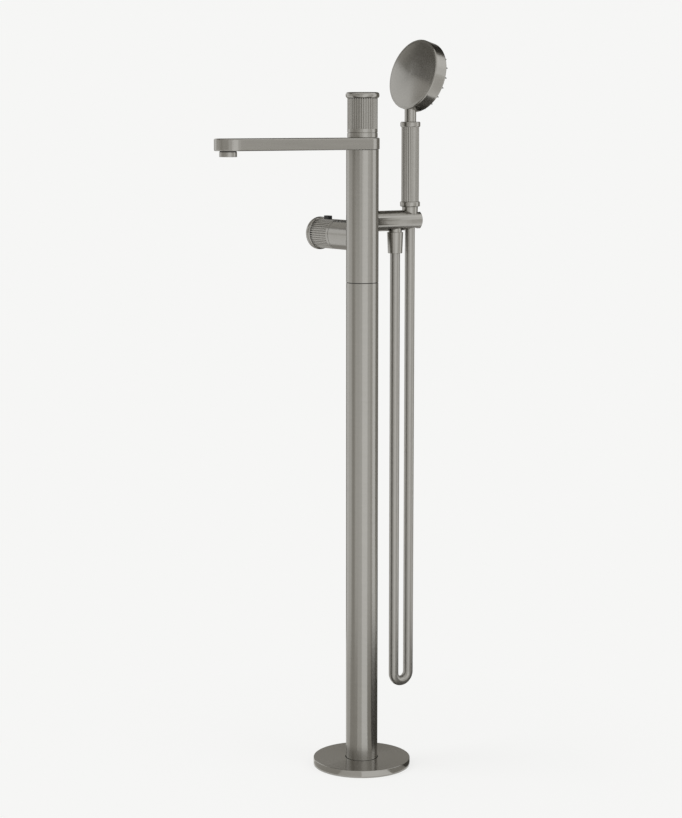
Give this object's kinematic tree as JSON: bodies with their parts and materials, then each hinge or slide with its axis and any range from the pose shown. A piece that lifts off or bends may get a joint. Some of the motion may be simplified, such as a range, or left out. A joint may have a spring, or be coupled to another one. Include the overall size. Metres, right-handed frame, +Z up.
{
  "type": "freestanding bath mixer",
  "caption": "Floor-standing bath mixer: round plate and column, swivelling slab spout, fluted flow and thermostat knobs, and a side arm that holds a handset on a hose.",
  "frame": {"origin": "on the floor, under the middle of the column and of the floor bolts", "axes": "+Z up the column, +X along the spout, -X along the handset holder, -Y along the thermostat knob"},
  "size_m": [0.3913, 0.1965, 1.1392],
  "materials": {
    "brushed_nickel": "fine brushed warm grey nickel",
    "stainless_steel": "plain satin",
    "brass": "turned",
    "copper": "drawn tube",
    "rubber": "matt black",
    "white_plastic": "moulded",
    "black_plastic": "fine satin black",
    "silicone": "soft matt grey",
    "hose_skin": "smooth metallic grey"
  },
  "bodies": {
    "root": {"base_flange": "stainless_steel", "base_spigot": "stainless_steel", "floor_plate": "brushed_nickel", "column_seal": "rubber", "column_tube": "brushed_nickel", "column_grub_screws": "stainless_steel", "hot_coupler": "brass", "cold_coupler": "brass", "hot_pipe": "copper", "cold_pipe": "copper", "joint_sleeve": "stainless_steel", "joint_ring": "rubber", "mixer_body": "brushed_nickel", "thermostat_sleeve": "brushed_nickel", "thermostat_cartridge": "brass", "thermostat_seals": "rubber", "thermostat_nut": "brass", "temperature_stop": "white_plastic", "flow_cartridge": "white_plastic", "flow_seals": "rubber", "flow_nut": "brass", "spout_seals": "rubber", "slide_ring": "white_plastic", "knob_collar": "brushed_nickel", "holder_arm": "brushed_nickel", "outlet_nipple": "brushed_nickel", "outlet_nut": "brushed_nickel", "outlet_ferrule": "brass", "outlet_washer": "rubber", "hose": "hose_skin"},
    "spout": {"spout": "brushed_nickel", "aerator_housing": "brushed_nickel", "aerator_insert": "white_plastic"},
    "flow_knob": {"flow_knob": "brushed_nickel", "flow_cap": "brushed_nickel", "flow_spindle": "brass", "flow_screw": "stainless_steel"},
    "thermostat_knob": {"thermostat_knob": "brushed_nickel", "thermostat_cap": "brushed_nickel", "thermostat_spindle": "brass", "thermostat_screw": "stainless_steel", "button_spring": "stainless_steel"},
    "safety_button": {"safety_button": "black_plastic"},
    "hose_end": {"hose_tail": "brass"},
    "handset": {"handset_nut": "brushed_nickel", "handset_washer": "rubber", "handset_core": "brushed_nickel", "grip_ring_lower": "brushed_nickel", "grip": "brushed_nickel", "grip_ring_upper": "brushed_nickel", "head_shell": "brushed_nickel", "head_gasket": "rubber", "nozzle_mat": "silicone", "spray_plate": "brushed_nickel"}
  },
  "joints": [
    {"name": "spout_swivel", "type": "hinge", "parent": "root", "child": "spout", "pos_m": [0, 0, 0.98], "axis": [0, 0, 1], "range_deg": [-60, 60]},
    {"name": "flow_knob_turn", "type": "hinge", "parent": "root", "child": "flow_knob", "pos_m": [0, 0, 1.02], "axis": [0, 0, 1], "range_deg": [-90, 90]},
    {"name": "thermostat_knob_turn", "type": "hinge", "parent": "root", "child": "thermostat_knob", "pos_m": [0, -0.09, 0.8386], "axis": [0, -1, 0], "range_deg": [-150, 60]},
    {"name": "safety_button_press", "type": "slide", "parent": "thermostat_knob", "child": "safety_button", "axis": [0, 0, -1], "range_m": [0, 0.002], "stiffness_N_per_m": 600, "springref_m": -0.002, "deforming": ["button_spring"]},
    {"name": "handset_lift", "type": "slide", "parent": "root", "child": "hose_end", "axis": [0, 0, 1], "range_m": [0, 0.04], "deforming": ["hose"]},
    {"name": "handset_swivel", "type": "hinge", "parent": "hose_end", "child": "handset", "pos_m": [-0.091, 0, 0.9], "axis": [0, 0, 1], "continuous": true}
  ]
}
